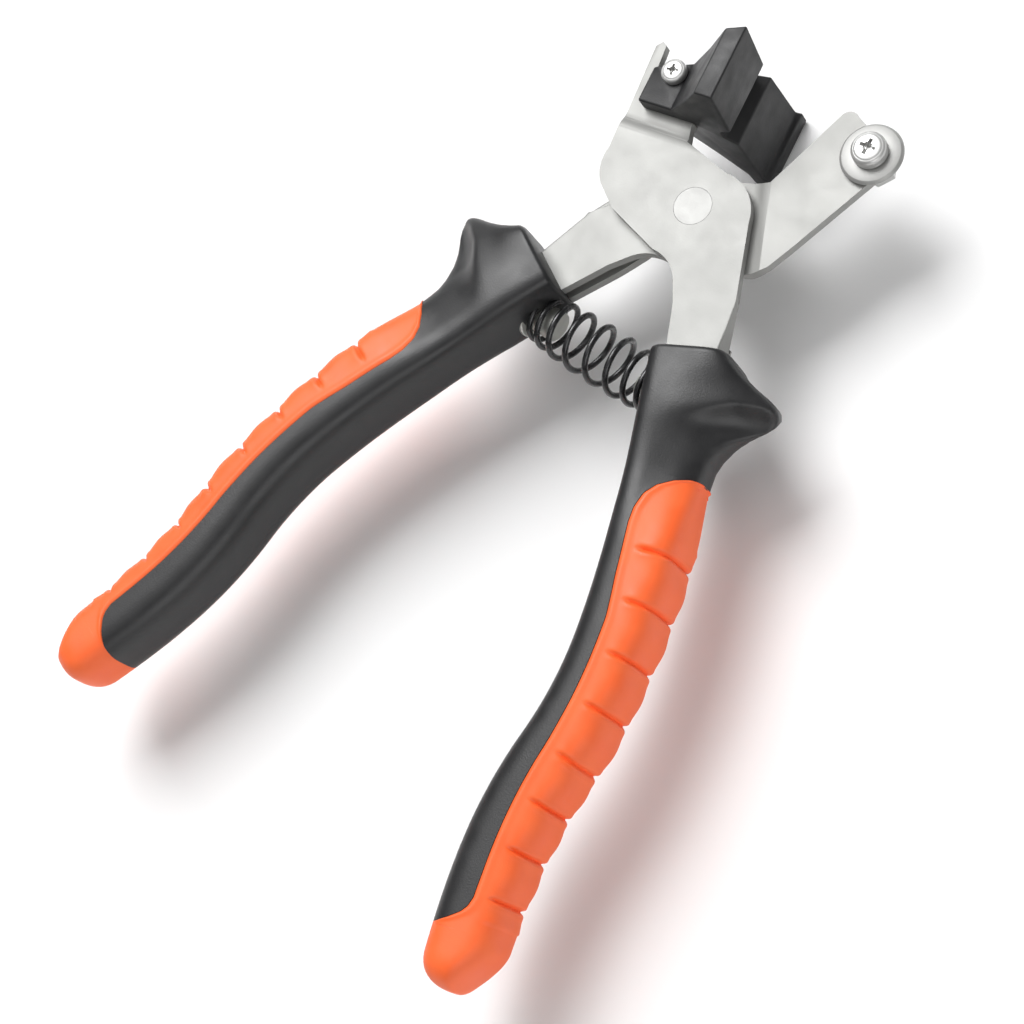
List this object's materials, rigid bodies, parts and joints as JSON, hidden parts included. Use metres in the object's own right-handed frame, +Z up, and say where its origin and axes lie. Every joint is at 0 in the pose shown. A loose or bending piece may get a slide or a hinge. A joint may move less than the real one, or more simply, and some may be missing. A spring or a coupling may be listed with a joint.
{
  "type": "tile nippers",
  "caption": "Hand tile scoring and breaking pliers: steel levers with soft-grip handles, a winged breaker block, a scoring wheel and a return spring.",
  "frame": {"origin": "centre of the bottom of the tool's box, as it lies flat with its front face up; the handles' pivot stands over the Y axis", "axes": "+Y along the tool from the handles towards the jaws; +Z up out of the front face, parallel to the pivot; +X towards the front lever's handle"},
  "size_m": [0.1332, 0.1988, 0.045],
  "materials": {
    "pressed_steel": "satin nickel-plated pressed steel",
    "rivet_steel": "flush satin rivet",
    "hardware_steel": "bright zinc-plated screws, nuts and washers",
    "wheel_steel": "ground hard steel",
    "bush_brass": "plain turned brass",
    "seat_steel": "zinc-plated",
    "spring_black": "black oxide",
    "block_plastic": "fine-textured black nylon",
    "grip_dark": "dark grey moulded plastic",
    "grip_orange": "soft orange overmould"
  },
  "bodies": {
    "front_side": {"front_lever": "pressed_steel", "pivot_rivet": "rivet_steel", "pivot_washer": "hardware_steel", "breaker_block": "block_plastic", "breaker_screw": "hardware_steel", "breaker_nut": "hardware_steel", "return_spring": "spring_black", "front_spring_seat": "seat_steel", "front_grip_core": "grip_dark", "front_grip_insert": "grip_orange"},
    "rear_side": {"rear_lever": "pressed_steel", "wheel_bush": "bush_brass", "wheel_screw": "hardware_steel", "wheel_washer": "hardware_steel", "wheel_lock_washer": "hardware_steel", "wheel_nut": "hardware_steel", "rear_spring_seat": "seat_steel", "rear_grip_core": "grip_dark", "rear_grip_insert": "grip_orange"},
    "wheel": {"scoring_wheel": "wheel_steel"}
  },
  "joints": [
    {"name": "handle_pivot", "type": "hinge", "parent": "front_side", "child": "rear_side", "pos_m": [0, 0.0637, 0.0248], "axis": [0, 0, 1], "range_deg": [0, 30], "stiffness_Nm_per_rad": 0.9, "springref_deg": -22.92, "deforming": ["return_spring"]},
    {"name": "wheel_spin", "type": "hinge", "parent": "rear_side", "child": "wheel", "pos_m": [0.0275, 0.0924, 0.02715], "axis": [0, 0, 1], "continuous": true}
  ]
}
